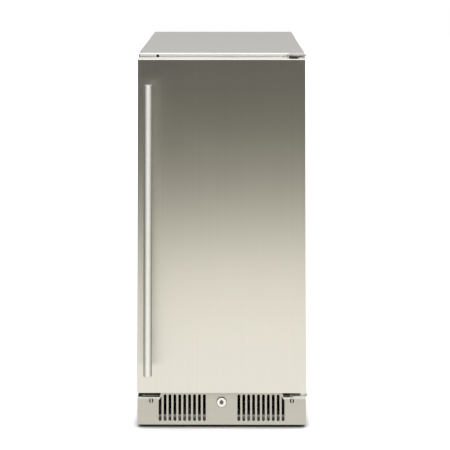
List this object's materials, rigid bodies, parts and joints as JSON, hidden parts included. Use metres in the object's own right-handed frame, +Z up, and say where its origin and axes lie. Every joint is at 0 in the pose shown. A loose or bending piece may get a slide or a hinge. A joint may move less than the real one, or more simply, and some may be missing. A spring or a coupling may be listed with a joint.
{
  "type": "undercounter refrigerator",
  "caption": "Narrow undercounter refrigerator with a right-hinged stainless door, long bar handle, notched front vent grille with key lock, wire shelves and levelling legs.",
  "frame": {"origin": "on the floor, midway between the four levelling legs, with the legs screwed fully in", "axes": "+Z up; -Y out of the door, towards the person who opens it; +X to that person's right, the hinge side"},
  "size_m": [0.3825, 0.657, 0.832],
  "materials": {
    "stainless_skin": "satin",
    "side_panel_steel": "satin",
    "galvanised_steel": "matte",
    "black_painted_steel": "satin",
    "polished_steel": "gloss",
    "hardware_steel": "gloss",
    "hinge_steel": "satin",
    "white_liner_plastic": "gloss",
    "white_fan_plastic": "matte",
    "nylon": "satin",
    "insulation_foam": "matte",
    "black_plastic": "satin",
    "lamp_diffuser": "satin",
    "gasket_rubber": "matte",
    "black_rubber": "matte",
    "ferrite_strip": "matte",
    "shelf_wire": "gloss",
    "coil_aluminium": "satin",
    "coil_black": "satin",
    "copper": "satin",
    "zinc_steel": "satin"
  },
  "bodies": {
    "cabinet": {"cabinet_side_left": "side_panel_steel", "cabinet_side_right": "side_panel_steel", "cabinet_top": "stainless_skin", "cabinet_back": "galvanised_steel", "rear_cover": "black_painted_steel", "base_pan": "galvanised_steel", "lower_front_frame": "galvanised_steel", "machine_bulkhead": "galvanised_steel", "inner_liner": "white_liner_plastic", "cabinet_foam": "insulation_foam", "control_box": "white_liner_plastic", "led_lamp": "lamp_diffuser", "temperature_sensor": "copper", "evaporator_coil": "coil_aluminium", "evaporator_cover": "white_liner_plastic", "evaporator_fan_motor": "black_plastic", "drain_tube": "black_plastic", "compressor": "black_painted_steel", "compressor_grommets": "black_rubber", "terminal_cover": "black_plastic", "condenser_coil": "coil_black", "condenser_fan_motor": "coil_black", "filter_drier": "copper", "refrigerant_pipes": "copper", "condensate_pan": "black_plastic", "power_cord": "black_rubber", "top_hinge_bracket": "hinge_steel", "bottom_hinge_bracket": "hinge_steel", "hinge_spacer": "black_plastic", "hinge_pins": "hardware_steel", "cabinet_screws": "hardware_steel", "kick_grille": "stainless_skin", "lock_body": "hardware_steel", "lock_nut": "galvanised_steel"},
    "door": {"door_outer_panel": "stainless_skin", "door_inner_panel": "white_liner_plastic", "door_foam": "insulation_foam", "door_gasket": "gasket_rubber", "gasket_magnets": "ferrite_strip", "handle_bar": "polished_steel", "handle_posts": "polished_steel", "handle_screws": "hardware_steel", "hinge_bushes": "nylon"},
    "lock_plug": {"lock_cylinder": "hardware_steel", "lock_cam": "galvanised_steel"},
    "dial": {"thermostat_dial": "black_plastic"},
    "switch_rocker": {"light_switch": "black_plastic"},
    "upper_shelf": {"shelf_upper": "shelf_wire"},
    "middle_shelf": {"shelf_middle": "shelf_wire"},
    "lower_shelf": {"shelf_lower": "shelf_wire"},
    "condenser_fan": {"condenser_fan_blade": "black_plastic"},
    "evaporator_fan": {"evaporator_fan_blade": "white_fan_plastic"},
    "pad_front_left": {"leg_pad_front_left": "black_rubber"},
    "stem_front_left": {"leg_stem_front_left": "zinc_steel"},
    "pad_front_right": {"leg_pad_front_right": "black_rubber"},
    "stem_front_right": {"leg_stem_front_right": "zinc_steel"},
    "pad_rear_left": {"leg_pad_rear_left": "black_rubber"},
    "stem_rear_left": {"leg_stem_rear_left": "zinc_steel"},
    "pad_rear_right": {"leg_pad_rear_right": "black_rubber"},
    "stem_rear_right": {"leg_stem_rear_right": "zinc_steel"}
  },
  "joints": [
    {"name": "door_swing", "type": "hinge", "parent": "cabinet", "child": "door", "pos_m": [0.1815, -0.3, 0.45], "axis": [0, 0, 1], "range_deg": [0, 115]},
    {"name": "lock_turn", "type": "hinge", "parent": "cabinet", "child": "lock_plug", "pos_m": [0, -0.3, 0.0563], "axis": [0, 1, 0], "range_deg": [0, 90]},
    {"name": "dial_turn", "type": "hinge", "parent": "cabinet", "child": "dial", "pos_m": [-0.032, -0.2125, 0.7828], "axis": [0, 1, 0], "range_deg": [0, 270]},
    {"name": "switch_rock", "type": "hinge", "parent": "cabinet", "child": "switch_rocker", "pos_m": [0.036, -0.2075, 0.7828], "axis": [-1, 0, 0], "range_deg": [0, 20]},
    {"name": "upper_shelf_slide", "type": "slide", "parent": "cabinet", "child": "upper_shelf", "axis": [0, -1, 0], "range_m": [0, 0.024]},
    {"name": "middle_shelf_slide", "type": "slide", "parent": "cabinet", "child": "middle_shelf", "axis": [0, -1, 0], "range_m": [0, 0.024]},
    {"name": "lower_shelf_slide", "type": "slide", "parent": "cabinet", "child": "lower_shelf", "axis": [0, -1, 0], "range_m": [0, 0.024]},
    {"name": "condenser_fan_spin", "type": "hinge", "parent": "cabinet", "child": "condenser_fan", "pos_m": [-0.06, 0.037, 0.078], "axis": [0, 1, 0], "continuous": true},
    {"name": "evaporator_fan_spin", "type": "hinge", "parent": "cabinet", "child": "evaporator_fan", "pos_m": [0, 0.1883, 0.6968], "axis": [0, 1, 0], "continuous": true},
    {"name": "leg_drop_front_left", "type": "slide", "parent": "cabinet", "child": "pad_front_left", "axis": [0, 0, -1], "range_m": [0, 0.02]},
    {"name": "leg_turn_front_left", "type": "hinge", "parent": "pad_front_left", "child": "stem_front_left", "pos_m": [-0.16, -0.2275, 0.02], "axis": [0, 0, 1], "range_deg": [0, 5760]},
    {"name": "leg_drop_front_right", "type": "slide", "parent": "cabinet", "child": "pad_front_right", "axis": [0, 0, -1], "range_m": [0, 0.02]},
    {"name": "leg_turn_front_right", "type": "hinge", "parent": "pad_front_right", "child": "stem_front_right", "pos_m": [0.16, -0.2275, 0.02], "axis": [0, 0, 1], "range_deg": [0, 5760]},
    {"name": "leg_drop_rear_left", "type": "slide", "parent": "cabinet", "child": "pad_rear_left", "axis": [0, 0, -1], "range_m": [0, 0.02]},
    {"name": "leg_turn_rear_left", "type": "hinge", "parent": "pad_rear_left", "child": "stem_rear_left", "pos_m": [-0.16, 0.2275, 0.02], "axis": [0, 0, 1], "range_deg": [0, 5760]},
    {"name": "leg_drop_rear_right", "type": "slide", "parent": "cabinet", "child": "pad_rear_right", "axis": [0, 0, -1], "range_m": [0, 0.02]},
    {"name": "leg_turn_rear_right", "type": "hinge", "parent": "pad_rear_right", "child": "stem_rear_right", "pos_m": [0.16, 0.2275, 0.02], "axis": [0, 0, 1], "range_deg": [0, 5760]}
  ],
  "couplings": [
    {"joint": "leg_turn_front_left", "follows": "leg_drop_front_left", "rad_per_m": 5026.5},
    {"joint": "leg_turn_front_right", "follows": "leg_drop_front_right", "rad_per_m": 5026.5},
    {"joint": "leg_turn_rear_left", "follows": "leg_drop_rear_left", "rad_per_m": 5026.5},
    {"joint": "leg_turn_rear_right", "follows": "leg_drop_rear_right", "rad_per_m": 5026.5}
  ]
}
